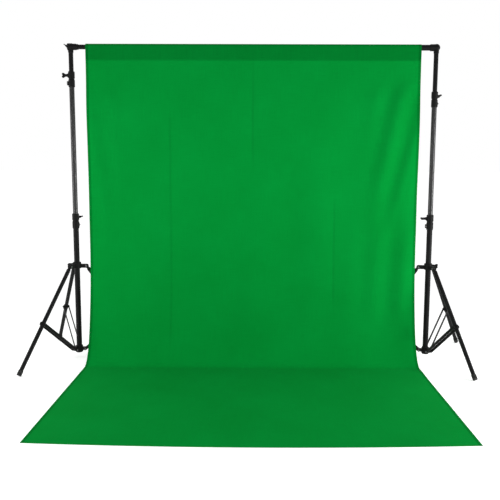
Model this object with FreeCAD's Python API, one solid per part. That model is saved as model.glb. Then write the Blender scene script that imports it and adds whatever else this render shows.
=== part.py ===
import FreeCAD, Part
import math
import os

# Background support: two telescoping light stands, a three-tube crossbar and a fabric backdrop.
# Millimetres, +Z up, the crossbar along X, the backdrop's floor panel towards -Y.
# The parts are laid out about the floor point midway between the masts, and the whole support
# is then shifted so that its origin is the middle of the underside of its box.

V = FreeCAD.Vector
X_AXIS = V(1, 0, 0)
Y_AXIS = V(0, 1, 0)
Z_AXIS = V(0, 0, 1)

# The whole support
STAND_SPACING = 2000.0
BAR_HEIGHT = 1741.0
FIT = 0.05  # radial gap between pieces fixed to each other
RUN = 0.08  # radial gap of a running fit
CUT = 1.0  # how far a cutting tool overshoots the face it starts from

# Mast tubes, by outer radius
WALL = 1.2
LOWER_R = 15.5
MIDDLE_R = 14.0
UPPER_R = 12.5
LOWER_BOTTOM = 34.0
MIDDLE_LENGTH = 840.0
UPPER_LENGTH = 745.0
UPPER_TOP = 1708.0

# Tube clamps
CLAMP_HEIGHT = 84.0
CLAMP_GRIP = 38.0  # depth of the larger tube's end in the clamp
CLAMP_WALL = 3.4
END_GAP = 0.5  # between a tube's end and the shoulder it stops at
CLAMP_KNOB_Z = 63.0
CLAMP_EAR_Z = 20.0
EAR_SCREW_OUT = 7.0  # from the gripped tube's surface to the ears' screw
EAR_SCREW_R = 2.0
CLAMP_BOSS_END = 28.5  # from the mast's axis
BOSS_R = 8.0  # the bosses that the clamp and collar knobs screw into
LOWER_CLAMP_Z = 744.0

# Wing knobs
STEM_R = 3.0
KNOB_GAP = 0.8
KNOB_HUB_R = 7.0
KNOB_HUB_LENGTH = 9.0
WING_REACH = 16.5
WING_SPREAD = 7.2
WING_LOBE_R = 6.6
WING_THICKNESS = 6.0

# Legs and their folding linkage: each leg hangs from the collar, each brace stands on the hub
LEG_R = 11.0
LEG_WALL = 1.0
LEG_PIVOT_R = 54.0
LEG_PIVOT_Z = 530.0
LEG_ANGLE = 36.7  # from the vertical, legs spread
FOOT_R = 13.0
FOOT_LENGTH = 28.0
FOOT_FLOOR = 3.0
FOOT_FILLET = 1.5
HUB_PIVOT_R = 37.5
HUB_PIVOT_Z = 47.0
BRACE_POINT = 357.0  # from the leg's pivot to where the brace meets the leg
BRACE_INNER = 14.7  # half the gap between a brace's two strips
STRIP_THICKNESS = 2.5
STRIP_HALF_HEIGHT = 8.0
PIVOT_BOLT_R = 3.0
HOLE_REACH = 20.0  # half the length of a tool that drills a pivot's hole
BOLT_HEAD_R = 5.0
BOLT_HEAD_HEIGHT = 3.4
TONGUE_HALF = 5.0
EAR_INNER = 5.3
EAR_OUTER = 9.3
EAR_R = 10.5
COLLAR_R = 23.5
COLLAR_BELOW = 14.0
COLLAR_ABOVE = 22.0
COLLAR_BOSS_END = 28.5
COLLAR_KNOB_RISE = 8.0
HUB_R = 20.5
HUB_BOTTOM = 26.0
HUB_TOP = 66.0
LUG_HALF_WIDTH = 14.0
LUG_R = 7.5
BAND_WALL = 2.9  # the leg clamps

# Spigots and bar brackets
SPIGOT_R = 8.0
SPIGOT_FLANGE = 3.0
SPIGOT_PLUG = 18.0
SPIGOT_TOP = BAR_HEIGHT - 6.0
SOCKET_R = 14.5
LOOSE = 0.4  # radial gap of the right socket, which lifts off its spigot
LEFT_BARREL_R = 19.0
RIGHT_BALL_R = 20.0
SCREW_Z = BAR_HEIGHT - 11.0
BRACKET_BOSS_R = 6.5
SOCKET_GAP = 0.4  # between a spigot's flange and the bracket that stands over it
SCREW_SIZE = 0.7  # the bracket screws' wings against those of the clamp knobs
LEFT_SCREW_TILT = 35.0
LEFT_SCREW_TIP = 12.6
LEFT_BOSS_END = 27.4
RIGHT_BOSS_END = 21.0

# Crossbar tubes: the largest is on the right, and each nests in the next
BAR_NEST = 60.0
BAR_MIDDLE_HALF = 360.0
LEFT_BAR_END = 12.0  # from the left mast's axis to the crossbar's left end
RIGHT_BAR_END = 10.0

# Backdrop
CLOTH_WIDTH = 1832.0
CLOTH_THICKNESS = 1.2
CLOTH_BACK_Y = -16.5
POCKET_DEPTH = 75.0  # from the bar's axis down to the pocket's seam
POCKET_DROP = 10.0  # straight part of the pocket's back before it turns to the seam
CURVE_RUN = 206.0
CURVE_RISE = 680.0
FLOOR_FRONT_Y = -1215.0

# What differs between the stands: leg azimuths start at FIRST_LEG and are a third of a turn
# apart; knob azimuths are about the mast; twist turns a knob's wings about its own screw.
STANDS = {
    "left": {
        "x": -STAND_SPACING / 2,
        "first_leg": 241.0,
        "upper_clamp_z": 1526.0,
        "lower_knob": 65.0,
        "upper_knob": 180.0,
        "collar_knob": 181.0,
        "lower_twist": 70.0,
        "upper_twist": 10.0,
        "collar_twist": 80.0,
    },
    "right": {
        "x": STAND_SPACING / 2,
        "first_leg": -70.0,
        "upper_clamp_z": 1422.0,
        "lower_knob": 180.0,
        "upper_knob": 40.0,
        "collar_knob": -11.0,
        "lower_twist": 75.0,
        "upper_twist": 60.0,
        "collar_twist": 30.0,
    },
}
LEGS = 3

# Worked out from the above
THETA = math.radians(LEG_ANGLE)
LEG_LENGTH = FOOT_FILLET + (
    LEG_PIVOT_Z - FOOT_FILLET - (FOOT_R - FOOT_FILLET) * math.sin(THETA)
) / math.cos(THETA)
JOIN_R = LEG_PIVOT_R + BRACE_POINT * math.sin(THETA)
JOIN_Z = LEG_PIVOT_Z - BRACE_POINT * math.cos(THETA)
BRACE_LENGTH = math.hypot(JOIN_R - HUB_PIVOT_R, JOIN_Z - HUB_PIVOT_Z)
BRACE_ANGLE = math.degrees(math.atan2(JOIN_R - HUB_PIVOT_R, JOIN_Z - HUB_PIVOT_Z))
FOLDED_ANGLE = math.degrees(math.asin((LEG_PIVOT_R - HUB_PIVOT_R) / BRACE_LENGTH))
FOLDED_RISE = BRACE_LENGTH * math.cos(math.radians(FOLDED_ANGLE))
COLLAR_TRAVEL = HUB_PIVOT_Z + FOLDED_RISE + BRACE_POINT - LEG_PIVOT_Z


def cylinder(radius, start, end, axis=Z_AXIS, at=V(0, 0, 0)):
    """A solid cylinder along axis through at, between two distances along it."""
    return Part.makeCylinder(radius, end - start, at + axis * start, axis)


def tube(radius, wall, start, end, axis=Z_AXIS, at=V(0, 0, 0)):
    outer = cylinder(radius, start, end, axis, at)
    return outer.cut(cylinder(radius - wall, start - CUT, end + CUT, axis, at))


def box(low, high):
    return Part.makeBox(high[0] - low[0], high[1] - low[1], high[2] - low[2], V(*low))


def revolved(points):
    """A solid of revolution about Z from (radius, z) points of a closed outline."""
    corners = [V(r, 0, z) for r, z in points]
    face = Part.Face(Part.makePolygon(corners + corners[:1]))
    return face.revolve(V(0, 0, 0), Z_AXIS, 360)


def prism(points, low_y, high_y):
    """A solid from (x, z) points of a closed outline, between two y values."""
    corners = [V(x, low_y, z) for x, z in points]
    face = Part.Face(Part.makePolygon(corners + corners[:1]))
    return face.extrude(V(0, high_y - low_y, 0))


def hexagon(across_flats, start, end, axis, at):
    """A hexagonal head or nut along axis."""
    circle_r = across_flats / math.sqrt(3)
    corners = []
    for i in range(7):
        turn = math.radians(60 * i)
        corners.append(V(circle_r * math.cos(turn), circle_r * math.sin(turn), 0))
    solid = Part.Face(Part.makePolygon(corners)).extrude(V(0, 0, end - start))
    solid.Placement = FreeCAD.Placement(at + axis * start, FreeCAD.Rotation(Z_AXIS, axis))
    return solid


def joined(shapes):
    return shapes[0].multiFuse(shapes[1:]).removeSplitter()


def moved(shape, turn=0.0, shift=V(0, 0, 0), tilt=0.0):
    """A copy tilted about Y, then shifted, then turned about the mast's axis."""
    out = shape.copy()
    out.rotate(V(0, 0, 0), Y_AXIS, tilt)
    out.translate(shift)
    out.rotate(V(0, 0, 0), Z_AXIS, turn)
    return out


def clamp_casting(grip_r, slide_r):
    """A casting that grips the larger tube's end and guides the smaller one; bottom at z=0."""
    band_r = grip_r + CLAMP_WALL
    waist_r = band_r - 1.8
    top_r = band_r + 0.4
    body = revolved([
        (grip_r + FIT, 0),
        (band_r - 1.0, 0),
        (band_r, 2),
        (band_r, CLAMP_GRIP),
        (waist_r, CLAMP_GRIP + 3),
        (waist_r, CLAMP_GRIP + 8),
        (top_r, CLAMP_GRIP + 11),
        (top_r, CLAMP_HEIGHT - 3),
        (top_r - 2.0, CLAMP_HEIGHT),
        (slide_r + RUN, CLAMP_HEIGHT),
        (slide_r + RUN, CLAMP_GRIP + END_GAP),
        (grip_r + FIT, CLAMP_GRIP + END_GAP),
    ])
    boss = cylinder(BOSS_R, slide_r + 2, CLAMP_BOSS_END, X_AXIS, V(0, 0, CLAMP_KNOB_Z))
    boss = boss.makeChamfer(1.0, [boss.Edges[0]])
    rib = prism(
        [
            (slide_r + 2, CLAMP_KNOB_Z - 18),
            (CLAMP_BOSS_END - 2, CLAMP_KNOB_Z - 4),
            (CLAMP_BOSS_END - 2, CLAMP_KNOB_Z + 4),
            (slide_r + 2, CLAMP_KNOB_Z + 14),
        ],
        -2.5,
        2.5,
    )
    ear = box((grip_r + 1, -6.5, CLAMP_EAR_Z - 11), (grip_r + 11, 6.5, CLAMP_EAR_Z + 11))
    ear = ear.makeFillet(3.0, [e for e in ear.Edges if e.CenterOfMass.x > grip_r + 10.9])
    hollow = cylinder(grip_r + FIT, -CUT, CLAMP_GRIP + END_GAP)
    bore = cylinder(slide_r + RUN, 0, CLAMP_HEIGHT + CUT)
    slit = box((grip_r - 1, -0.8, -CUT), (grip_r + 12, 0.8, CLAMP_GRIP - 2))
    stem_hole = cylinder(STEM_R + RUN, slide_r - 1, CLAMP_BOSS_END + CUT, X_AXIS, V(0, 0, CLAMP_KNOB_Z))
    screw_at = V(grip_r + EAR_SCREW_OUT, 0, CLAMP_EAR_Z)
    screw_hole = cylinder(EAR_SCREW_R + FIT, -10, 10, Y_AXIS, screw_at)
    solid = joined([body, boss, rib, ear])
    return solid.cut([hollow, bore, slit, stem_hole, screw_hole]).removeSplitter()


def ear_screw(grip_r):
    """The cap screw and nut across the ears of a clamp casting."""
    at = V(grip_r + EAR_SCREW_OUT, 0, CLAMP_EAR_Z)
    shank = cylinder(EAR_SCREW_R, -8.5, 8.5, Y_AXIS, at)
    head = cylinder(3.6, -10.5, -6.5, Y_AXIS, at)
    socket = hexagon(3.0, -CUT, 2.2, Y_AXIS, at + Y_AXIS * -10.5)
    nut = hexagon(7.0, 6.5, 9.7, Y_AXIS, at)
    return joined([shank, head, nut]).cut(socket)


def wing_knob(tip, boss_end, twist, size=1.0):
    """A screw along +X whose tip is at x=tip, with a hub and two rounded wings."""
    start = boss_end + KNOB_GAP
    hub_end = start + KNOB_HUB_LENGTH * size
    stem = cylinder(STEM_R, tip, start + 2, X_AXIS)
    hub = cylinder(KNOB_HUB_R * size, start, hub_end, X_AXIS)
    hub = hub.makeFillet(1.5 * size, [hub.Edges[0]])
    pieces = [stem, hub]
    root = V(hub_end - 4 * size, 0, 0)
    lobe_r = WING_LOBE_R * size
    half = WING_THICKNESS / 2 * size
    for side in (-1, 1):
        lobe = V(start + WING_REACH * size, 0, side * WING_SPREAD * size)
        along = (lobe - root).normalize()
        across = V(-along.z, 0, along.x) * lobe_r
        corners = [root + across, lobe + across, lobe - across, root - across]
        face = Part.Face(Part.makePolygon([c - Y_AXIS * half for c in corners + corners[:1]]))
        pieces.append(face.extrude(Y_AXIS * 2 * half))
        pieces.append(cylinder(lobe_r, -half, half, Y_AXIS, lobe))
    knob = joined(pieces)
    knob.rotate(V(0, 0, 0), X_AXIS, twist)
    return knob


def lug_ring(ring, lug, count=LEGS):
    """A ring with the same lug three times round it, the first along +X."""
    return joined([ring] + [moved(lug, turn=360 / count * i) for i in range(count)])


def leg_collar(knob_turn):
    """The sliding collar with three clevises; z=0 is the height of the leg pivots."""
    ring = revolved([
        (LOWER_R + RUN, -COLLAR_BELOW),
        (COLLAR_R - 2, -COLLAR_BELOW),
        (COLLAR_R, -COLLAR_BELOW + 2),
        (COLLAR_R, COLLAR_ABOVE - 5),
        (COLLAR_R - 3, COLLAR_ABOVE),
        (LOWER_R + RUN, COLLAR_ABOVE),
    ])
    web = box((LOWER_R + 3, -EAR_OUTER, -EAR_R), (LEG_PIVOT_R - 12, EAR_OUTER, EAR_R))
    ear = box((LEG_PIVOT_R - 13, EAR_INNER, -EAR_R), (LEG_PIVOT_R, EAR_OUTER, EAR_R))
    eye = cylinder(EAR_R, EAR_INNER, EAR_OUTER, Y_AXIS, V(LEG_PIVOT_R, 0, 0))
    far_ear = ear.mirror(V(0, 0, 0), Y_AXIS)
    far_eye = eye.mirror(V(0, 0, 0), Y_AXIS)
    hole = cylinder(PIVOT_BOLT_R + RUN, -HOLE_REACH, HOLE_REACH, Y_AXIS, V(LEG_PIVOT_R, 0, 0))
    clevis = joined([web, ear, eye, far_ear, far_eye]).cut(hole)
    boss = cylinder(BOSS_R, LOWER_R + 3, COLLAR_BOSS_END, X_AXIS, V(0, 0, COLLAR_KNOB_RISE))
    stem_hole = cylinder(
        STEM_R + RUN, LOWER_R - 1, COLLAR_BOSS_END + CUT, X_AXIS, V(0, 0, COLLAR_KNOB_RISE)
    )
    solid = lug_ring(ring, clevis).fuse(moved(boss, knob_turn))
    return solid.cut(moved(stem_hole, knob_turn)).removeSplitter()


def base_hub():
    """The fixed hub that closes the lower tube's foot and carries the braces."""
    ring = revolved([
        (0, HUB_BOTTOM),
        (HUB_R - 3, HUB_BOTTOM),
        (HUB_R, HUB_BOTTOM + 3),
        (HUB_R, HUB_TOP - 2),
        (HUB_R - 2, HUB_TOP),
        (LOWER_R + FIT, HUB_TOP),
        (LOWER_R + FIT, LOWER_BOTTOM),
        (0, LOWER_BOTTOM),
    ])
    at = V(HUB_PIVOT_R, 0, HUB_PIVOT_Z)
    arm = box(
        (LOWER_R + 2, -LUG_HALF_WIDTH, HUB_PIVOT_Z - LUG_R),
        (HUB_PIVOT_R, LUG_HALF_WIDTH, HUB_PIVOT_Z + LUG_R),
    )
    eye = cylinder(LUG_R, -LUG_HALF_WIDTH, LUG_HALF_WIDTH, Y_AXIS, at)
    hole = cylinder(PIVOT_BOLT_R + FIT, -HOLE_REACH, HOLE_REACH, Y_AXIS, at)
    return lug_ring(ring, arm.fuse(eye).cut(hole))


def pivot_bolt(at, grip):
    """A bolt along Y with a domed head and a nut, each this far from the middle."""
    shank = cylinder(PIVOT_BOLT_R, -grip - 1, grip + 1, Y_AXIS, at)
    head = cylinder(BOLT_HEAD_R, -grip - BOLT_HEAD_HEIGHT, -grip, Y_AXIS, at)
    head = head.makeFillet(1.6, [e for e in head.Edges if e.CenterOfMass.y < -grip - 3])
    nut = hexagon(9.0, grip, grip + BOLT_HEAD_HEIGHT, Y_AXIS, at)
    return joined([shank, head, nut])


def leg():
    """A leg hanging straight down from its pivot at the origin."""
    end = LEG_LENGTH - FOOT_FLOOR - 0.3
    eye = cylinder(8.0, -TONGUE_HALF, TONGUE_HALF, Y_AXIS)
    neck = box((-7, -TONGUE_HALF, -26), (7, TONGUE_HALF, 0))
    shoulder = Part.makeCone(LEG_R, 6.0, 8, V(0, 0, -20))
    plug = cylinder(LEG_R - 0.5, -34, -19)
    pipe = tube(LEG_R, LEG_WALL, -end, -20)
    hole = cylinder(PIVOT_BOLT_R + RUN, -HOLE_REACH, HOLE_REACH, Y_AXIS)
    return joined([eye, neck, shoulder, plug, pipe]).cut(hole)


def foot_cap():
    """The cup-shaped cap on the leg's lower end."""
    shell = cylinder(FOOT_R, -LEG_LENGTH, -LEG_LENGTH + FOOT_LENGTH)
    shell = shell.makeFillet(
        FOOT_FILLET, [e for e in shell.Edges if e.CenterOfMass.z < -LEG_LENGTH + 0.1]
    )
    return shell.cut(cylinder(LEG_R + FIT, -LEG_LENGTH + FOOT_FLOOR, -LEG_LENGTH + FOOT_LENGTH + CUT))


def leg_clamp():
    """The split band on the leg between the two strips of its brace."""
    at = V(0, 0, -BRACE_POINT)
    band = cylinder(LEG_R + BAND_WALL, -10, 10, Z_AXIS, at)
    pads = cylinder(7.5, -BRACE_INNER + 0.5, BRACE_INNER - 0.5, Y_AXIS, at)
    ear_end = LEG_R + BAND_WALL + 7
    ear = box((LEG_R, -4, -BRACE_POINT - 7), (ear_end, 4, -BRACE_POINT + 7))
    ear = ear.makeFillet(2.0, [e for e in ear.Edges if e.CenterOfMass.x > ear_end - 0.1])
    slit = box((LEG_R - 1, -0.6, -BRACE_POINT - 11), (ear_end + 1, 0.6, -BRACE_POINT + 11))
    bore = cylinder(LEG_R + FIT, -11, 11, Z_AXIS, at)
    return joined([band, pads, ear]).cut([slit, bore]).removeSplitter()


def brace():
    """Two strips standing on the hub pivot at the origin, with a rivet at each far end."""
    outer = BRACE_INNER + STRIP_THICKNESS
    top = V(0, 0, BRACE_LENGTH)
    solids = []
    for side in (-1, 1):
        axis = Y_AXIS * side
        flat = box(
            (-STRIP_HALF_HEIGHT, BRACE_INNER, 0), (STRIP_HALF_HEIGHT, outer, BRACE_LENGTH)
        )
        if side < 0:
            flat = flat.mirror(V(0, 0, 0), Y_AXIS)
        ends = [cylinder(STRIP_HALF_HEIGHT, BRACE_INNER, outer, axis, at) for at in (V(0, 0, 0), top)]
        holes = [
            cylinder(PIVOT_BOLT_R + RUN, BRACE_INNER - CUT, outer + CUT, axis),
            cylinder(PIVOT_BOLT_R + FIT, BRACE_INNER - CUT, outer + CUT, axis, top),
        ]
        solids.append(joined([flat] + ends).cut(holes))
        head = cylinder(BOLT_HEAD_R, outer, outer + 3.0, axis, top)
        solids.append(head.fuse(cylinder(PIVOT_BOLT_R, BRACE_INNER, outer, axis, top)))
    return Part.makeCompound(solids)


def spigot():
    plug = cylinder(UPPER_R - WALL - FIT, UPPER_TOP - SPIGOT_PLUG, UPPER_TOP)
    flange = cylinder(UPPER_R + 0.5, UPPER_TOP, UPPER_TOP + SPIGOT_FLANGE)
    flange = flange.makeChamfer(0.8, [e for e in flange.Edges if e.CenterOfMass.z > UPPER_TOP + 1])
    post = cylinder(SPIGOT_R, UPPER_TOP + SPIGOT_FLANGE, SPIGOT_TOP)
    return joined([plug, flange, post])


def screw_frame(direction):
    """The placement that carries +X onto a bracket screw's direction, through its height."""
    return FreeCAD.Placement(V(0, 0, SCREW_Z), FreeCAD.Rotation(X_AXIS, direction))


def left_bracket(direction, boss_end):
    """The stepped T fitting; x=0 is the left mast's axis."""
    at = V(0, 0, BAR_HEIGHT)
    cap = cylinder(LEFT_BARREL_R, -17, 10, X_AXIS, at)
    cap = cap.makeFillet(2.0, [cap.Edges[0], cap.Edges[2]])
    sleeve = cylinder(UPPER_R + 4.7, 9, 30, X_AXIS, at)
    collar = cylinder(UPPER_R + 2.8, 29, 41, X_AXIS, at)
    socket_low = UPPER_TOP + SPIGOT_FLANGE + SOCKET_GAP
    socket = cylinder(SOCKET_R, socket_low, BAR_HEIGHT)
    boss = cylinder(BRACKET_BOSS_R, SPIGOT_R, boss_end, X_AXIS)
    boss.Placement = screw_frame(direction)
    post_hole = cylinder(SPIGOT_R + FIT, socket_low - CUT, SPIGOT_TOP + 1)
    bar_hole = cylinder(UPPER_R + FIT, LEFT_BAR_END - 0.5, 41 + CUT, X_AXIS, at)
    stem_hole = cylinder(STEM_R + RUN, 0, boss_end + CUT, X_AXIS)
    stem_hole.Placement = screw_frame(direction)
    solid = joined([cap, sleeve, collar, socket, boss])
    return solid.cut([post_hole, bar_hole, stem_hole]).removeSplitter()


def right_bracket(direction, boss_end):
    """The ball-ended fitting; x=0 is the right mast's axis."""
    at = V(0, 0, BAR_HEIGHT)
    ball = Part.makeSphere(RIGHT_BALL_R, at)
    sleeve = cylinder(LOWER_R + 3.0, -34, 0, X_AXIS, at)
    sleeve = sleeve.makeChamfer(1.5, [e for e in sleeve.Edges if e.CenterOfMass.x < -33])
    socket_low = UPPER_TOP + SPIGOT_FLANGE + SOCKET_GAP
    socket = cylinder(SOCKET_R, socket_low, BAR_HEIGHT)
    boss = cylinder(BRACKET_BOSS_R, SPIGOT_R, boss_end, X_AXIS)
    boss.Placement = screw_frame(direction)
    post_hole = cylinder(SPIGOT_R + LOOSE, socket_low - CUT, SPIGOT_TOP + 1)
    bar_hole = cylinder(LOWER_R + FIT, -35, -RIGHT_BAR_END + 0.5, X_AXIS, at)
    stem_hole = cylinder(STEM_R + RUN, 0, boss_end + CUT, X_AXIS)
    stem_hole.Placement = screw_frame(direction)
    solid = joined([ball, sleeve, socket, boss])
    return solid.cut([post_hole, bar_hole, stem_hole]).removeSplitter()


def quarter_ellipse(run, rise):
    """The fall of the cloth from vertical to flat, as an arc in the YZ plane."""
    centre = V(0, CLOTH_BACK_Y - CURVE_RUN, CURVE_RISE)
    curve = Part.Ellipse(centre + Z_AXIS * rise, centre + Y_AXIS * run, centre)
    start = curve.parameter(centre + Y_AXIS * run)
    end = curve.parameter(centre - Z_AXIS * rise)
    if end < start:
        start, end = end, start
    return Part.ArcOfEllipse(curve, start, end).toShape()


def backdrop():
    """One closed solid: pole pocket, hanging sheet, curve and floor panel."""
    front = CLOTH_BACK_Y - CLOTH_THICKNESS
    seam = BAR_HEIGHT - POCKET_DEPTH
    outer_r = -front
    inner_r = -CLOTH_BACK_Y
    turn_z = BAR_HEIGHT - POCKET_DROP

    def arch(radius):
        ends = V(0, -radius, BAR_HEIGHT), V(0, radius, BAR_HEIGHT)
        return Part.Arc(ends[0], V(0, 0, BAR_HEIGHT + radius), ends[1]).toShape()

    def line(y0, z0, y1, z1):
        return Part.makeLine(V(0, y0, z0), V(0, y1, z1))

    centre_y = CLOTH_BACK_Y - CURVE_RUN
    rim = [
        arch(outer_r),
        line(outer_r, BAR_HEIGHT, outer_r, turn_z),
        line(outer_r, turn_z, CLOTH_BACK_Y, seam - 2),
        line(CLOTH_BACK_Y, seam - 2, CLOTH_BACK_Y, CURVE_RISE),
        quarter_ellipse(CURVE_RUN, CURVE_RISE),
        line(centre_y, 0, FLOOR_FRONT_Y, 0),
        line(FLOOR_FRONT_Y, 0, FLOOR_FRONT_Y, CLOTH_THICKNESS),
        line(FLOOR_FRONT_Y, CLOTH_THICKNESS, centre_y, CLOTH_THICKNESS),
        quarter_ellipse(CURVE_RUN - CLOTH_THICKNESS, CURVE_RISE - CLOTH_THICKNESS),
        line(front, CURVE_RISE, front, BAR_HEIGHT),
    ]
    pocket = [
        arch(inner_r),
        line(inner_r, BAR_HEIGHT, inner_r, turn_z),
        line(inner_r, turn_z, CLOTH_BACK_Y, seam + 2),
        line(CLOTH_BACK_Y, seam + 2, CLOTH_BACK_Y, BAR_HEIGHT),
    ]
    profile = Part.Face(Part.Wire(Part.__sortEdges__(rim)))
    profile = profile.cut(Part.Face(Part.Wire(Part.__sortEdges__(pocket))))
    profile.translate(V(-CLOTH_WIDTH / 2, 0, 0))
    return profile.extrude(V(CLOTH_WIDTH, 0, 0))


def stand(side, layout):
    """All the sub-parts of one stand, as node name to shape, about its own mast's axis."""
    upper_clamp_z = layout["upper_clamp_z"]
    middle_top = upper_clamp_z + CLAMP_GRIP
    lower_top = LOWER_CLAMP_Z + CLAMP_GRIP
    nodes = {
        "lower_tube": tube(LOWER_R, WALL, LOWER_BOTTOM, lower_top),
        "middle_tube": tube(MIDDLE_R, WALL, middle_top - MIDDLE_LENGTH, middle_top),
        "upper_tube": tube(UPPER_R, WALL, UPPER_TOP - UPPER_LENGTH, UPPER_TOP),
        "spigot": spigot(),
        "base_hub": moved(base_hub(), layout["first_leg"]),
    }
    clamps = {
        "lower": (LOWER_R, MIDDLE_R, LOWER_CLAMP_Z),
        "upper": (MIDDLE_R, UPPER_R, upper_clamp_z),
    }
    for level, (grip_r, slide_r, low) in clamps.items():
        turn = layout[level + "_knob"]
        knob = wing_knob(slide_r + 0.5, CLAMP_BOSS_END, layout[level + "_twist"])
        knob_at = V(0, 0, low + CLAMP_KNOB_Z)
        nodes[level + "_clamp"] = moved(clamp_casting(grip_r, slide_r), turn, V(0, 0, low))
        nodes[level + "_clamp_screw"] = moved(ear_screw(grip_r), turn, V(0, 0, low))
        nodes[level + "_clamp_knob"] = moved(knob, turn, knob_at)
    collar_turn = layout["collar_knob"] - layout["first_leg"]
    collar_at = V(0, 0, LEG_PIVOT_Z)
    nodes["leg_collar"] = moved(leg_collar(collar_turn), layout["first_leg"], collar_at)
    collar_knob = wing_knob(LOWER_R + 0.5, COLLAR_BOSS_END, layout["collar_twist"])
    knob_at = V(0, 0, LEG_PIVOT_Z + COLLAR_KNOB_RISE)
    nodes["leg_collar_knob"] = moved(collar_knob, layout["collar_knob"], knob_at)

    leg_pivot = V(LEG_PIVOT_R, 0, LEG_PIVOT_Z)
    hub_pivot = V(HUB_PIVOT_R, 0, HUB_PIVOT_Z)
    leg_bolt = pivot_bolt(leg_pivot, EAR_OUTER + 0.1)
    hub_bolt = pivot_bolt(hub_pivot, BRACE_INNER + STRIP_THICKNESS + 0.4)
    turns = [layout["first_leg"] - 360 / LEGS * i for i in range(LEGS)]
    nodes["leg_pivot_bolts"] = Part.makeCompound([moved(leg_bolt, turn) for turn in turns])
    nodes["hub_bolts"] = Part.makeCompound([moved(hub_bolt, turn) for turn in turns])
    for number, turn in enumerate(turns, 1):
        for name, shape in (("leg", leg()), ("foot_cap", foot_cap()), ("leg_clamp", leg_clamp())):
            nodes[f"{name}_{number}"] = moved(shape, turn, leg_pivot, -LEG_ANGLE)
        nodes[f"brace_{number}"] = moved(brace(), turn, hub_pivot, BRACE_ANGLE)
    return {f"{side}_{name}": moved(s, shift=V(layout["x"], 0, 0)) for name, s in nodes.items()}


def crossbar():
    """The three nested tubes, the two brackets and their wing screws."""
    left_x = STANDS["left"]["x"]
    right_x = STANDS["right"]["x"]
    at = V(0, 0, BAR_HEIGHT)
    inner_end = BAR_MIDDLE_HALF - BAR_NEST
    tilt = math.radians(LEFT_SCREW_TILT)
    left_way = V(-math.cos(tilt), 0, math.sin(tilt))
    nodes = {
        "crossbar_left_tube": tube(UPPER_R, WALL, left_x + LEFT_BAR_END, -inner_end, X_AXIS, at),
        "crossbar_middle_tube": tube(
            MIDDLE_R, WALL, -BAR_MIDDLE_HALF, BAR_MIDDLE_HALF, X_AXIS, at
        ),
        "crossbar_right_tube": tube(LOWER_R, WALL, inner_end, right_x - RIGHT_BAR_END, X_AXIS, at),
    }
    brackets = {
        "left": (left_bracket, left_way, LEFT_SCREW_TIP, LEFT_BOSS_END, left_x, 90.0),
        "right": (right_bracket, Y_AXIS, SPIGOT_R + 0.5, RIGHT_BOSS_END, right_x, 0.0),
    }
    for side, (bracket, way, tip, boss_end, x, twist) in brackets.items():
        screw = wing_knob(tip, boss_end, twist, SCREW_SIZE)
        screw.Placement = screw_frame(way).multiply(screw.Placement)
        nodes[side + "_bar_bracket"] = moved(bracket(way, boss_end), shift=V(x, 0, 0))
        nodes[side + "_bar_screw"] = moved(screw, shift=V(x, 0, 0))
    return nodes


def grouped(nodes, name, members):
    """Several identical fasteners of one body as one node of separate solids."""
    shapes = [nodes.pop(member) for member in members]
    solids = [solid for shape in shapes for solid in shape.Solids]
    nodes[name] = Part.makeCompound(solids)


def support():
    nodes = {"backdrop": backdrop()}
    nodes.update(crossbar())
    for side, layout in STANDS.items():
        nodes.update(stand(side, layout))
    grouped(nodes, "lower_clamp_screws", ["left_lower_clamp_screw", "right_lower_clamp_screw"])
    grouped(nodes, "hub_bolts", ["left_hub_bolts", "right_hub_bolts"])
    return nodes


def shift_to_origin(nodes):
    """From the layout's floor point to the middle of the underside of the whole box."""
    whole = Part.makeCompound(list(nodes.values())).optimalBoundingBox(False, False)
    return V(-(whole.XMin + whole.XMax) / 2, -(whole.YMin + whole.YMax) / 2, 0)


os.makedirs("parts", exist_ok=True)
NODES = support()
SHIFT = shift_to_origin(NODES)
for node_name, node_shape in NODES.items():
    node_shape.translate(SHIFT)
    node_shape.exportStep(f"parts/{node_name}.step")
print("nodes", len(NODES))
print("shift", round(SHIFT.x, 3), round(SHIFT.y, 3))
print("leg length", round(LEG_LENGTH, 2), "brace length", round(BRACE_LENGTH, 2))
print("brace angle", round(BRACE_ANGLE, 3), "folded", round(FOLDED_ANGLE, 3))
print("collar travel", round(COLLAR_TRAVEL, 2))
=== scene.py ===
import math

import bpy
import numpy as np
from mathutils import Matrix, Vector, noise


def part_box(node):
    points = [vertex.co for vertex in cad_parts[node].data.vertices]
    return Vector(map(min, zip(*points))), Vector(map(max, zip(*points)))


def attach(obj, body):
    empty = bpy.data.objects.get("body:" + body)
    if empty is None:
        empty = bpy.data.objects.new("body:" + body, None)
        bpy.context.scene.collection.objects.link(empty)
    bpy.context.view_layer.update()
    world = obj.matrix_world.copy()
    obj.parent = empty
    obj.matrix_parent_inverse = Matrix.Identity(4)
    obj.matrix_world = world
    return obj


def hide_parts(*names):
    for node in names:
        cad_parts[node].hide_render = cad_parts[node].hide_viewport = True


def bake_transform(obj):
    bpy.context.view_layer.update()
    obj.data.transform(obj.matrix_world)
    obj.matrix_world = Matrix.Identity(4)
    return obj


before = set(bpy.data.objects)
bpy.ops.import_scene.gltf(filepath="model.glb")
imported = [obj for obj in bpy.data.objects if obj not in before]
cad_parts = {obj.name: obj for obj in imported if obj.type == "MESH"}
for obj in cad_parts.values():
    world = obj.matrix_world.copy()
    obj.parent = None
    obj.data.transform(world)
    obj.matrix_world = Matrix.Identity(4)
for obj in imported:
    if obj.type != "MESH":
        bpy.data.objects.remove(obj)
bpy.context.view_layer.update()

# Sizes in metres. x runs along the crossbar, y away from the camera, z up.
CLOTH_WIDTH = 1.832
CLOTH_THICKNESS = 0.0006
HEM = 0.014
HEM_THICKNESS = 0.0014
POCKET_DEPTH = 0.075  # from the bar's axis to the pocket's seam
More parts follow.
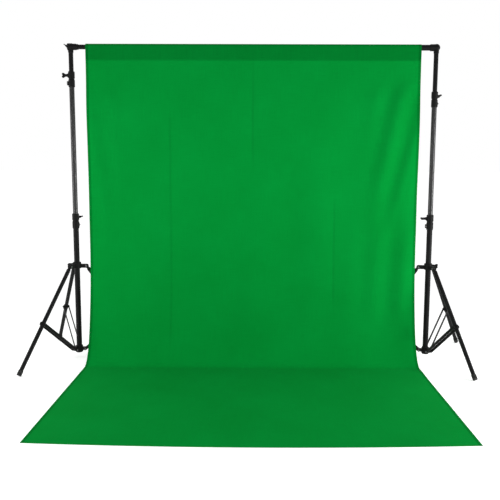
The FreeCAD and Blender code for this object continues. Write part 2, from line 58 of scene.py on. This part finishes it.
FLOOR_FRONT_CORNER = 1.208  # from the masts to the cloth's front corners
FLOOR_FRONT_BOW = 0.030  # how much further the middle of the front edge reaches
CURVE_RUN = 0.206  # how far forward the cloth's curve onto the floor reaches
CURVE_RISE = 0.680  # the height where that curve starts
SPLIT_HEIGHT = 1.10  # where the hanging cloth changes from one sliding stage to the other
CLOTH_OFF_BAR = 0.0012  # from the bar to the cloth's middle surface
CLOTH_LOWEST = 0.00005  # the cloth's underside stays this far above the floor
SETTLING_ROWS = 12  # rows of the curve that share the floor panel's wrinkles
CLOTH_COLUMNS = 169
POCKET_STEP, FALL_STEP, FLOOR_STEP = 0.003, 0.009, 0.011  # between rows of the cloth's grid
YARN_PITCH = 0.0011
STITCH_INSET = 0.003  # from a hem's inner edge to its line of stitches
# Packaging creases: across as a share of the width, and where each starts and ends below the seam
CREASES = ((-0.25, 0.30, 1.60), (0.0, 0.02, 0.55), (0.25, 0.75, 1.35))

# The camera, from the mast's foot midway between the stands
CAMERA_BACK = 3.663
CAMERA_HEIGHT = 1.080
CAMERA_SIDE = 0.010
CAMERA_PITCH = 7.09
CAMERA_YAW = 0.37
CAMERA_ROLL = 0.20
CAMERA_LENS = 46.8
CAMERA_SENSOR = 36.0
CAMERA_REACH = 1000.0

WALL_EDGE = (-0.75, 0.20)  # the y of the directions where the white walls start and are full
WALL_LIGHT = (0.30, 1.0)  # the light of the room behind the camera, and of the walls
RIGHT_POWER = 21.0
LEFT_POWER = 12.5
FRONT_POWER = 14.0
FLOOR_GLOW = 0.36  # keeps the floor as white as the walls
FLOOR_HALF_SIZE = 300.0
FLOOR_LEVEL = -0.0002
LIGHT_TARGET_HEIGHT = 0.7


# ---------------------------------------------------------------- places read from the frame

def middle(node):
    low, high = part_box(node)
    return (Vector(low) + Vector(high)) / 2


left_mast = middle("left_lower_tube")
right_mast = middle("right_lower_tube")
bar_low, bar_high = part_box("crossbar_right_tube")
mast_x = (left_mast.x + right_mast.x) / 2
mast_y = left_mast.y
bar_z = (bar_low[2] + bar_high[2]) / 2
bar_r = (bar_high[2] - bar_low[2]) / 2


# ---------------------------------------------------------------- shader helpers

class Shader:
    """A Principled material with short calls for the nodes used here."""

    def __init__(self, name, **values):
        self.material = bpy.data.materials.new(name)
        self.material.use_nodes = True
        self.tree = self.material.node_tree
        self.tree.nodes.clear()
        self.out = self.node("ShaderNodeOutputMaterial")
        self.bsdf = self.node("ShaderNodeBsdfPrincipled")
        self.link(self.bsdf.outputs["BSDF"], self.out.inputs["Surface"])
        for key, value in values.items():
            self.bsdf.inputs[key.replace("_", " ")].default_value = value

    def node(self, kind, **settings):
        made = self.tree.nodes.new(kind)
        for key, value in settings.items():
            setattr(made, key, value)
        return made

    def link(self, source, target):
        self.tree.links.new(source, target)

    def put(self, target, value):
        if hasattr(value, "is_output"):
            self.link(value, target)
        else:
            target.default_value = value

    def math(self, operation, *values):
        made = self.node("ShaderNodeMath", operation=operation)
        for socket, value in zip(made.inputs, values):
            self.put(socket, value)
        return made.outputs[0]

    def coordinates(self, kind="Object", scale=(1, 1, 1)):
        source = self.node("ShaderNodeTexCoord").outputs[kind]
        mapping = self.node("ShaderNodeMapping")
        mapping.inputs["Scale"].default_value = scale
        self.link(source, mapping.inputs["Vector"])
        return mapping.outputs["Vector"]

    def noise(self, vector, scale, detail=3.0, roughness=0.5):
        made = self.node("ShaderNodeTexNoise")
        self.link(vector, made.inputs["Vector"])
        made.inputs["Scale"].default_value = scale
        made.inputs["Detail"].default_value = detail
        made.inputs["Roughness"].default_value = roughness
        return made.outputs["Fac"]

    def spread(self, value, low, high, to_low=0.0, to_high=1.0, smooth=False):
        """value mapped from one range to another, and held at its ends."""
        made = self.node("ShaderNodeMapRange", clamp=True)
        if smooth:
            made.interpolation_type = "SMOOTHSTEP"
        for name, number in (
            ("From Min", low), ("From Max", high), ("To Min", to_low), ("To Max", to_high)
        ):
            made.inputs[name].default_value = number
        self.link(value, made.inputs["Value"])
        return made.outputs["Result"]

    def mix(self, factor, first, second, blend="MIX"):
        made = self.node("ShaderNodeMix", data_type="RGBA", blend_type=blend)
        self.put(made.inputs["Factor"], factor)
        self.put(made.inputs["A"], first)
        self.put(made.inputs["B"], second)
        return made.outputs["Result"]

    def bump(self, height, distance, strength=1.0, normal=None):
        made = self.node("ShaderNodeBump")
        made.inputs["Distance"].default_value = distance
        made.inputs["Strength"].default_value = strength
        self.link(height, made.inputs["Height"])
        if normal is not None:
            self.link(normal, made.inputs["Normal"])
        return made.outputs["Normal"]

    def edges(self, radius):
        """1 along sharp outer and inner edges, 0 on flat ground."""
        bevel = self.node("ShaderNodeBevel", samples=4)
        bevel.inputs["Radius"].default_value = radius
        plain = self.node("ShaderNodeNewGeometry").outputs["Normal"]
        dot = self.node("ShaderNodeVectorMath", operation="DOT_PRODUCT")
        self.link(bevel.outputs["Normal"], dot.inputs[0])
        self.link(plain, dot.inputs[1])
        return self.spread(dot.outputs["Value"], 0.995, 0.85)


def rgb(red, green, blue):
    return (red, green, blue, 1.0)


# ---------------------------------------------------------------- materials of the stands

def tube_paint(name, base, roughness, grain, specular=0.10):
    """Black satin paint drawn along a tube: fine lengthwise grain, handling marks, dust."""
    s = Shader(name, Specular_IOR_Level=specular, Metallic=0.0)
    long_grain = s.noise(s.coordinates(scale=grain), 260.0, 4.0)
    cloudy = s.noise(s.coordinates(), 9.0, 4.0)
    dust = s.spread(s.noise(s.coordinates(), 55.0, 6.0, 0.65), 0.56, 0.78)
    colour = s.mix(s.spread(cloudy, 0.35, 0.7), rgb(*base), rgb(*(c * 1.7 for c in base)))
    colour = s.mix(s.math("MULTIPLY", dust, 0.10), colour, rgb(0.06, 0.06, 0.057))
    worn = s.math("MULTIPLY", s.edges(0.0009), s.spread(cloudy, 0.3, 0.55))
    colour = s.mix(s.math("MULTIPLY", worn, 0.4), colour, rgb(0.09, 0.09, 0.093))
    s.link(colour, s.bsdf.inputs["Base Color"])
    rough = s.math("ADD", s.spread(long_grain, 0.3, 0.7, -0.07, 0.07), roughness)
    rough = s.math("ADD", rough, s.math("MULTIPLY", dust, 0.18))
    s.link(rough, s.bsdf.inputs["Roughness"])
    s.link(s.bump(long_grain, 0.00004, 0.5), s.bsdf.inputs["Normal"])
    return s.material


def moulded_plastic(name, base, roughness, texture=900.0):
    """Black glass-filled nylon: spark-eroded texture, a faint bloom, rubbed edges."""
    s = Shader(name, Specular_IOR_Level=0.10)
    pebble = s.noise(s.coordinates(), texture, 2.0)
    cloudy = s.noise(s.coordinates(), 28.0, 4.0)
    rubbed = s.math("MULTIPLY", s.edges(0.0012), s.spread(cloudy, 0.3, 0.6))
    colour = s.mix(s.spread(cloudy, 0.3, 0.75), rgb(*base), rgb(*(c * 1.8 for c in base)))
    colour = s.mix(s.math("MULTIPLY", rubbed, 0.45), colour, rgb(0.05, 0.05, 0.05))
    s.link(colour, s.bsdf.inputs["Base Color"])
    rough = s.math("ADD", s.spread(cloudy, 0.3, 0.7, -0.06, 0.08), roughness)
    rough = s.math("SUBTRACT", rough, s.math("MULTIPLY", rubbed, 0.15))
    s.link(rough, s.bsdf.inputs["Roughness"])
    s.link(s.bump(pebble, 0.00012, 0.6), s.bsdf.inputs["Normal"])
    return s.material


def bright_metal(name, base, roughness, scale):
    """Turned or plated steel: fine tool marks and dirty stains."""
    s = Shader(name, Metallic=1.0)
    marks = s.noise(s.coordinates(scale=scale), 900.0, 3.0)
    stain = s.noise(s.coordinates(), 160.0, 4.0)
    dirty = tuple(c * 0.45 for c in base)
    colour = s.mix(s.spread(stain, 0.5, 0.75), rgb(*base), rgb(*dirty))
    s.link(colour, s.bsdf.inputs["Base Color"])
    rough = s.math("ADD", s.spread(marks, 0.3, 0.7, -0.08, 0.10), roughness)
    s.link(rough, s.bsdf.inputs["Roughness"])
    s.link(s.bump(marks, 0.00003, 0.5), s.bsdf.inputs["Normal"])
    return s.material


def foot_rubber():
    s = Shader("foot_rubber", Specular_IOR_Level=0.25)
    grain = s.noise(s.coordinates(), 700.0, 3.0)
    scuff = s.spread(s.noise(s.coordinates(), 90.0, 5.0), 0.5, 0.72)
    scuffed = s.math("MULTIPLY", scuff, 0.6)
    colour = s.mix(scuffed, rgb(0.011, 0.011, 0.011), rgb(0.07, 0.068, 0.064))
    s.link(colour, s.bsdf.inputs["Base Color"])
    s.link(s.spread(grain, 0.3, 0.7, 0.72, 0.9), s.bsdf.inputs["Roughness"])
    s.link(s.bump(grain, 0.0002, 0.6), s.bsdf.inputs["Normal"])
    return s.material


UPRIGHT = (1.0, 1.0, 0.06)
ACROSS = (0.06, 1.0, 1.0)
EVEN = (1.0, 1.0, 1.0)
paints = {
    "lower": tube_paint("mast_paint_lower", (0.0035, 0.0035, 0.0037), 0.44, UPRIGHT),
    "middle": tube_paint("mast_paint_middle", (0.0055, 0.0055, 0.0058), 0.28, UPRIGHT, 0.36),
    "upper": tube_paint("mast_paint_upper", (0.0036, 0.0036, 0.0038), 0.42, UPRIGHT),
    "crossbar": tube_paint("crossbar_paint", (0.0035, 0.0035, 0.0037), 0.38, ACROSS),
    "leg": tube_paint("leg_paint", (0.0035, 0.0035, 0.0037), 0.42, EVEN),
    "strip": tube_paint("strip_paint", (0.0036, 0.0036, 0.0037), 0.48, EVEN),
    "clamp": moulded_plastic("clamp_plastic", (0.0036, 0.0036, 0.0036), 0.50),
    "knob": moulded_plastic("knob_plastic", (0.0032, 0.0032, 0.0032), 0.58, 1100.0),
    "bracket": moulded_plastic("bracket_casting", (0.0036, 0.0036, 0.0038), 0.46, 700.0),
    "spigot": bright_metal("spigot_steel", (0.045, 0.045, 0.047), 0.34, (1.0, 1.0, 30.0)),
    "bolt": bright_metal("bolt_steel", (0.16, 0.16, 0.16), 0.36, EVEN),
    "foot": foot_rubber(),
}
FINISH = (
    ("foot_cap", "foot"),
    ("spigot", "spigot"),
    ("bolts", "bolt"),
    ("clamp_screw", "bolt"),
    ("knob", "knob"),
    ("bar_screw", "knob"),
    ("bar_bracket", "bracket"),
    ("brace", "strip"),
    ("clamp", "clamp"),
    ("collar", "clamp"),
    ("base_hub", "clamp"),
    ("crossbar", "crossbar"),
    ("lower_tube", "lower"),
    ("middle_tube", "middle"),
    ("upper_tube", "upper"),
    ("leg", "leg"),
)
for node_name, node_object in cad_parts.items():
    for word, paint in FINISH:
        if word in node_name:
            node_object.data.materials.clear()
            node_object.data.materials.append(paints[paint])
            break


# ---------------------------------------------------------------- the muslin

def muslin():
    """Chroma-green muslin; its UV map is the flat cloth in metres, from the pocket's seam."""
    s = Shader("green_muslin", Sheen_Weight=0.02, Sheen_Roughness=0.5, Specular_IOR_Level=0.01)
    s.bsdf.inputs["Sheen Tint"].default_value = rgb(0.1, 0.8, 0.3)
    flat = s.node("ShaderNodeSeparateXYZ")
    s.link(s.coordinates("UV"), flat.inputs[0])
    across, along = flat.outputs["X"], flat.outputs["Y"]

    # Plain weave: warp and weft as crossing ridges
    warp = s.math("SINE", s.math("MULTIPLY", across, 2 * math.pi / YARN_PITCH))
    weft = s.math("SINE", s.math("MULTIPLY", along, 2 * math.pi / YARN_PITCH))
    weave = s.math("MULTIPLY", warp, weft)
    slub_across = s.noise(s.coordinates("UV", (12.0, 420.0, 1.0)), 1.0, 3.0)
    slub_along = s.noise(s.coordinates("UV", (420.0, 9.0, 1.0)), 1.0, 3.0)
    slubs = s.math("ADD", slub_across, slub_along)
    cloudy = s.noise(s.coordinates("UV"), 3.2, 4.0, 0.55)

    dye = s.spread(cloudy, 0.3, 0.7)
    colour = s.mix(dye, rgb(0.0006, 0.211, 0.0255), rgb(0.0008, 0.231, 0.0300))
    shade = s.spread(slubs, 0.75, 1.25, 0.93, 1.06)

    # Painted shade: double cloth lets less light through, so the pocket and the hems are painted
    # darker
    pocket_shade = s.spread(along, POCKET_FRONT_END - 0.006, POCKET_FRONT_END + 0.004, 0.72, 1.0)
    shade = s.math("MULTIPLY", shade, pocket_shade)
    half = CLOTH_WIDTH / 2
    off_middle = s.math("ABSOLUTE", across)
    # Painted shade on the double hems along the sides
    hem_shade = s.spread(off_middle, half - HEM - 0.002, half - HEM, 1.0, 0.74)
    shade = s.math("MULTIPLY", shade, hem_shade)

    # Seams: a line of stitches along the pocket and beside each hem
    def stitches(distance_from_line, along_line, width=0.0012, pitch=0.005):
        near = s.spread(distance_from_line, width, width * 0.3)
        beat = s.math("SINE", s.math("MULTIPLY", along_line, 2 * math.pi / pitch))
        return s.math("MULTIPLY", near, s.spread(beat, -0.4, 0.1))

    def away(value, line):
        return s.math("ABSOLUTE", s.math("SUBTRACT", value, line))

    pocket_line = stitches(away(along, POCKET_FRONT_END), across)
    side_line = stitches(away(off_middle, half - HEM + STITCH_INSET), along)
    front_line = stitches(away(along, CLOTH_LENGTH - HEM + STITCH_INSET), across)
    thread = s.math("MAXIMUM", pocket_line, s.math("MAXIMUM", side_line, front_line))

    # Packaging creases, with painted shade: the colour is darker along each crease line
    for share, start, end in CREASES:
        line = s.spread(away(across, share * CLOTH_WIDTH), 0.010, 0.002, smooth=True)
        start, end = POCKET_FRONT_END + start, POCKET_FRONT_END + end
        for edge, way in ((start, 1), (end, -1)):
            fade = s.spread(along, edge - way * 0.1, edge + way * 0.1, smooth=True)
            line = s.math("MULTIPLY", line, fade)
        # Painted shade along the crease
        shade = s.math("MULTIPLY", shade, s.spread(line, 0.0, 1.0, 1.0, 0.91))
    shade = s.math("MULTIPLY", shade, s.spread(thread, 0.0, 1.0, 1.0, 0.72))

    scaled = s.node("ShaderNodeVectorMath", operation="SCALE")
    s.link(colour, scaled.inputs[0])
    s.link(shade, scaled.inputs["Scale"])
    s.link(scaled.outputs[0], s.bsdf.inputs["Base Color"])
    s.link(s.spread(slubs, 0.7, 1.3, 0.82, 0.95), s.bsdf.inputs["Roughness"])
    normal = s.bump(weave, 0.00012, 0.35)
    normal = s.bump(slubs, 0.00035, 0.45, normal)
    normal = s.bump(s.math("SUBTRACT", 0.0, thread), 0.0006, 0.8, normal)
    s.link(normal, s.bsdf.inputs["Normal"])
    return s.material


# ---------------------------------------------------------------- the backdrop's shape

RING = bar_r + CLOTH_OFF_BAR  # the radius of the cloth's middle surface round the bar
SEAM_Z = bar_z - POCKET_DEPTH
LIE = CLOTH_THICKNESS  # the height of its middle surface on the floor


def pocket_outline():
    """(y, z) points of the pole pocket, from its seam up the back and over to the front."""
    seam = Vector((-RING + CLOTH_OFF_BAR, SEAM_Z))
    to_bar = Vector((0.0, bar_z)) - seam
    lean = math.atan2(to_bar.x, to_bar.y) + math.asin(RING / to_bar.length)
    reach = math.sqrt(to_bar.length ** 2 - RING ** 2)
    touch = seam + Vector((math.sin(lean), math.cos(lean))) * reach
    first = math.atan2(touch.y - bar_z, touch.x)
    points = [tuple(seam.lerp(touch, i / 24)) for i in range(24)]
    for i in range(49):
        turn = first + (math.pi - first) * i / 48
        points.append((RING * math.cos(turn), bar_z + RING * math.sin(turn)))
    return points


def fall_outline():
    """(y, z) points from the front of the bar down to the floor and out to the front edge."""
    points = [(-RING, bar_z - i * 0.01) for i in range(1, int((bar_z - CURVE_RISE) / 0.01))]
    for i in range(97):
        turn = math.pi / 2 * i / 96
        y = -RING - CURVE_RUN * (1 - math.cos(turn))
        points.append((y, LIE + (CURVE_RISE - LIE) * (1 - math.sin(turn))))
    return points


def even(points, step, first=True):
    """Points along the same line, about step apart."""
    line = np.array(points)
    run = np.concatenate([[0], np.cumsum(np.linalg.norm(np.diff(line, axis=0), axis=1))])
    at = np.linspace(0, run[-1], int(run[-1] / step) + 1)
    if not first:
        at = at[1:]
    return np.stack([np.interp(at, run, line[:, k]) for k in (0, 1)], axis=1)


pocket_rows = even(pocket_outline(), POCKET_STEP)
fall_rows = even([tuple(pocket_rows[-1])] + fall_outline(), FALL_STEP, first=False)
floor_start = fall_rows[-1]
floor_end = (-FLOOR_FRONT_CORNER, LIE)
floor_rows = even([tuple(floor_start), floor_end], FLOOR_STEP, first=False)
rows = np.concatenate([pocket_rows, fall_rows, floor_rows])
row_s = np.concatenate([[0], np.cumsum(np.linalg.norm(np.diff(rows, axis=0), axis=1))])
columns = np.linspace(-CLOTH_WIDTH / 2, CLOTH_WIDTH / 2, CLOTH_COLUMNS)
seam_row = len(pocket_rows) + int(np.argmin(np.abs(fall_rows[:, 1] - SEAM_Z)))
floor_row = len(pocket_rows) + len(fall_rows) - 1
POCKET_FRONT_END = float(row_s[seam_row])
CLOTH_LENGTH = float(row_s[-1])


def smooth(value, low, high):
    t = np.clip((value - low) / (high - low), 0, 1)
    return t * t * (3 - 2 * t)


def waves(distance, length):
    """Folds this far apart, with a crest at distance 0, between -1 and 1."""
    return np.cos(2 * math.pi * distance / length)


def drape(x, z):
    """How far the hanging cloth stands forward of its plane, in metres; never behind it."""
    down = 1 - smooth(z, 0.55, SEAM_Z)
    hang = smooth(SEAM_Z - z, 0.0, 0.22)
    soft = 0.0022 * np.sin(2 * math.pi * (x + 0.18 * z) / 0.47 + 0.8)
    soft += 0.0016 * np.sin(2 * math.pi * (x - 0.11 * z) / 0.29 + 2.1)
    soft *= 0.35 + 0.9 * down
    # Slanting folds that hang from the pocket's right end, and weaker ones on the left
    slant = x - 0.775 - 0.25 * (z - 1.315)
    right = smooth(x, 0.58, 0.80) * smooth(z, 0.62, 1.05) * (1 - smooth(z, 1.45, 1.64))
    right *= 1 - 0.5 * smooth(slant, 0.10, 0.17)
    folds = 0.0100 * right * (1 + waves(slant, 0.16))
    lower = smooth(x, 0.45, 0.8) * smooth(z, 0.15, 0.35) * (1 - smooth(z, 0.6, 0.95))
    folds += 0.0060 * lower * (1 + waves(x - 0.06 * z - 0.66, 0.16))
    left = smooth(-x, 0.62, 0.86) * smooth(z, 0.5, 1.1) * (1 - smooth(z, 1.35, 1.6))
    folds += 0.0050 * left * (1 + waves(x + 0.12 * z + 0.86, 0.13))
    creases = 0.0
    for share, start, end in CREASES:
        off = np.abs(x - share * CLOTH_WIDTH)
        below = SEAM_Z - z
        along = smooth(below, start - 0.1, start + 0.1) * (1 - smooth(below, end - 0.1, end + 0.1))
        creases -= 0.0022 * np.exp(-off / 0.030) * along
    return hang * (0.0055 + soft + folds + creases)


def floor_lift(x, reach):
    """Low wrinkles of the floor panel above the floor; reach is the distance from the curve."""
    out = np.zeros_like(x)
    for i, (xi, ri) in enumerate(zip(x, reach)):
        out[i] = noise.noise(Vector((xi * 1.7, ri * 3.5, 4.0)))
    settle = smooth(reach, -0.05, 0.10) * (0.35 + 0.65 * (1 - smooth(reach, 0.1, 0.5)))
    return 0.0030 * np.maximum(out, 0) * settle


def surface_points():
    """The cloth's middle surface as an array of rows x columns x 3, in the row frame."""
    x, y = np.meshgrid(columns, rows[:, 0])
    _, z = np.meshgrid(columns, rows[:, 1])
    tangent = np.gradient(rows, row_s, axis=0)
    tangent /= np.linalg.norm(tangent, axis=1)[:, None]
    forward_y, forward_z = tangent[:, 1], -tangent[:, 0]
    side = np.sign(forward_y)
    front = np.stack([-np.abs(forward_y), forward_z * -side], axis=1)
    number = np.arange(len(rows))
    hanging = ((number >= seam_row) & (number <= floor_row)).astype(float)
    fade = smooth(rows[:, 1], 0.0, 0.30) * hanging
    lift = drape(x, z) * fade[:, None]
    y = y + lift * front[:, 0][:, None]
    z = z + lift * np.where(hanging > 0, front[:, 1], 0.0)[:, None]
    # The front edge bows out in the middle, and the floor panel wrinkles a little
    reach = row_s[:, None] - row_s[floor_row]
    panel = np.clip(reach / (row_s[-1] - row_s[floor_row]), 0, 1)
    bow = 1 - (2 * x / CLOTH_WIDTH) ** 2
    y = y - FLOOR_FRONT_BOW * bow * panel
    on_floor = number >= floor_row - SETTLING_ROWS
    flat_x = x[on_floor].ravel()
    flat_reach = np.broadcast_to(reach, x.shape)[on_floor].ravel()
    z[on_floor] += floor_lift(flat_x, flat_reach).reshape(-1, len(columns))
    return np.stack([x + mast_x, y + mast_y, z], axis=2)


def surface_normals(points):
    across = np.gradient(points, axis=1)
    along = np.gradient(points, axis=0)
    normal = np.cross(across, along)
    return normal / np.linalg.norm(normal, axis=2)[:, :, None]


def half_thickness():
    """Half the cloth's thickness at each grid point: the hems are double."""
    edge = CLOTH_WIDTH / 2 - np.abs(columns)
    side = 1 - smooth(edge, HEM * 0.6, HEM)
    front = 1 - smooth(CLOTH_LENGTH - row_s, HEM * 0.5, HEM)
    hem = np.maximum(side[None, :], front[:, None])
    return (CLOTH_THICKNESS + (HEM_THICKNESS - CLOTH_THICKNESS) * hem) / 2


def cloth_piece(name, first, last, points, normals, half, material):
    """One closed piece of the cloth between two rows of the grid, with both its faces."""
    span = slice(first, last + 1)
    p, n, h = points[span], normals[span], half[span][:, :, None]
    count_r, count_c = p.shape[:2]
    front, back = p - n * h, p + n * h
    front[:, :, 2] = np.maximum(front[:, :, 2], CLOTH_LOWEST)
    back[:, :, 2] = np.maximum(back[:, :, 2], CLOTH_LOWEST)
    vertices = np.concatenate([front.reshape(-1, 3), back.reshape(-1, 3)])
    layer = count_r * count_c
    index = np.arange(layer).reshape(count_r, count_c)
    a, b = index[:-1, :-1].ravel(), index[:-1, 1:].ravel()
    c, d = index[1:, 1:].ravel(), index[1:, :-1].ravel()
    faces = [np.stack([d, c, b, a], 1), np.stack([a, b, c, d], 1) + layer]
    for rim in (index[:, 0], index[::-1, -1], index[0, ::-1], index[-1, :]):
        faces.append(np.stack([rim[1:], rim[:-1], rim[:-1] + layer, rim[1:] + layer], 1))
    faces = np.concatenate(faces)
    mesh = bpy.data.meshes.new(name)
    mesh.from_pydata(vertices.tolist(), [], faces.tolist())
    flat = np.stack(np.broadcast_arrays(columns[None, :], row_s[span][:, None]), 2).reshape(-1, 2)
    flat = np.concatenate([flat, flat])
    uv = mesh.uv_layers.new(name="flat_cloth")
    corner = np.zeros(len(mesh.loops), int)
    mesh.loops.foreach_get("vertex_index", corner)
    uv.data.foreach_set("uv", flat[corner].ravel())
    mesh.shade_smooth()
    # The two faces take the surface's own normals; zero leaves a rim corner its flat normal
    loop_normals = np.concatenate([-n.reshape(-1, 3), n.reshape(-1, 3)])[corner]
    rim_faces = len(faces) - 2 * len(a)
    loop_normals[len(mesh.loops) - rim_faces * 4:] = 0
    mesh.normals_split_custom_set(loop_normals.tolist())
    mesh.materials.append(material)
    piece = bpy.data.objects.new(name, mesh)
    bpy.context.scene.collection.objects.link(piece)
    return piece


def build_backdrop():
    points = surface_points()
    normals = surface_normals(points)
    half = half_thickness()
    cloth = muslin()
    # The sheet is cut where the masts' two sliding stages meet, halfway down its hanging part
    split_row = len(pocket_rows) + int(np.argmin(np.abs(fall_rows[:, 1] - SPLIT_HEIGHT)))
    spans = {
        "backdrop_pocket": (0, seam_row),
        "backdrop_upper_sheet": (seam_row, split_row),
        "backdrop_lower_sheet": (split_row, floor_row),
        "backdrop_floor_panel": (floor_row, len(rows) - 1),
    }
    pieces = {}
    for name, (first, last) in spans.items():
        piece = cloth_piece(name, first, last, points, normals, half, cloth)
        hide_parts("backdrop")
        pieces[name] = piece
    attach(pieces["backdrop_pocket"], "left_upper")
    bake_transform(pieces["backdrop_upper_sheet"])
    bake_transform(pieces["backdrop_lower_sheet"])
    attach(pieces["backdrop_floor_panel"], "root")
    return pieces, spans


backdrop, backdrop_spans = build_backdrop()


# ---------------------------------------------------------------- floor, light and camera

def studio_floor():
    s = Shader("pale_floor", Roughness=0.9, Specular_IOR_Level=0.1, Emission_Strength=FLOOR_GLOW)
    s.bsdf.inputs["Emission Color"].default_value = rgb(1.0, 1.0, 1.0)
    cloudy = s.noise(s.coordinates(), 0.8, 3.0)
    s.link(s.mix(cloudy, rgb(0.90, 0.90, 0.90), rgb(0.93, 0.93, 0.93)), s.bsdf.inputs["Base Color"])
    mesh = bpy.data.meshes.new("studio_floor")
    size, level = FLOOR_HALF_SIZE, FLOOR_LEVEL
    square = ((-size, -size), (size, -size), (size, size), (-size, size))
    corners = [(x, y, level) for x, y in square]
    mesh.from_pydata(corners, [], [(0, 1, 2, 3)])
    mesh.materials.append(s.material)
    floor = bpy.data.objects.new("studio_floor", mesh)
    bpy.context.scene.collection.objects.link(floor)


def soft_light(name, place, aim, size, power, spread):
    light = bpy.data.lights.new(name, "AREA")
    light.shape = "RECTANGLE"
    light.size, light.size_y = size
    light.energy = power
    light.spread = math.radians(spread)
    lamp = bpy.data.objects.new(name, light)
    lamp.location = place
    lamp.rotation_euler = (Vector(aim) - Vector(place)).to_track_quat("-Z", "Y").to_euler()
    bpy.context.scene.collection.objects.link(lamp)


def studio():
    world = bpy.data.worlds.new("studio")
    world.use_nodes = True
    tree = world.node_tree
    # White walls behind and beside the set, and a dimmer room behind the camera
    direction = tree.nodes.new("ShaderNodeTexCoord")
    parts = tree.nodes.new("ShaderNodeSeparateXYZ")
    facing = tree.nodes.new("ShaderNodeMapRange")
    for name, number in zip(("From Min", "From Max", "To Min", "To Max"), WALL_EDGE + WALL_LIGHT):
        facing.inputs[name].default_value = number
    tree.links.new(direction.outputs["Generated"], parts.inputs[0])
    tree.links.new(parts.outputs["Y"], facing.inputs["Value"])
    tree.links.new(facing.outputs["Result"], tree.nodes["Background"].inputs["Strength"])
    tree.nodes["Background"].inputs["Color"].default_value = rgb(1.0, 1.0, 1.0)
    bpy.context.scene.world = world
    target = (mast_x, mast_y, LIGHT_TARGET_HEIGHT)
    lights = (
        ("right_light", (2.6, -1.2, 0.9), (0.5, 1.2), RIGHT_POWER, 110),
        ("left_light", (-2.6, -1.2, 0.9), (0.5, 1.2), LEFT_POWER, 110),
        ("front_light", (0.0, -4.4, 1.3), (2.0, 1.4), FRONT_POWER, 120),
    )
    for name, place, size, power, spread in lights:
        place = (mast_x + place[0], mast_y + place[1], place[2])
        soft_light(name, place, target, size, power, spread)


def place_camera():
    lens = bpy.data.cameras.new("camera")
    lens.lens = CAMERA_LENS
    lens.sensor_width = CAMERA_SENSOR
    lens.clip_end = CAMERA_REACH
    camera = bpy.data.objects.new("camera", lens)
    camera.matrix_world = (
        Matrix.Translation((mast_x + CAMERA_SIDE, mast_y - CAMERA_BACK, CAMERA_HEIGHT))
        @ Matrix.Rotation(math.radians(CAMERA_YAW), 4, "Z")
        @ Matrix.Rotation(math.radians(90 - CAMERA_PITCH), 4, "X")
        @ Matrix.Rotation(math.radians(CAMERA_ROLL), 4, "Z")
    )
    bpy.context.scene.collection.objects.link(camera)
    bpy.context.scene.camera = camera


studio_floor()
studio()
place_camera()
bpy.context.scene.view_settings.view_transform = "Standard"
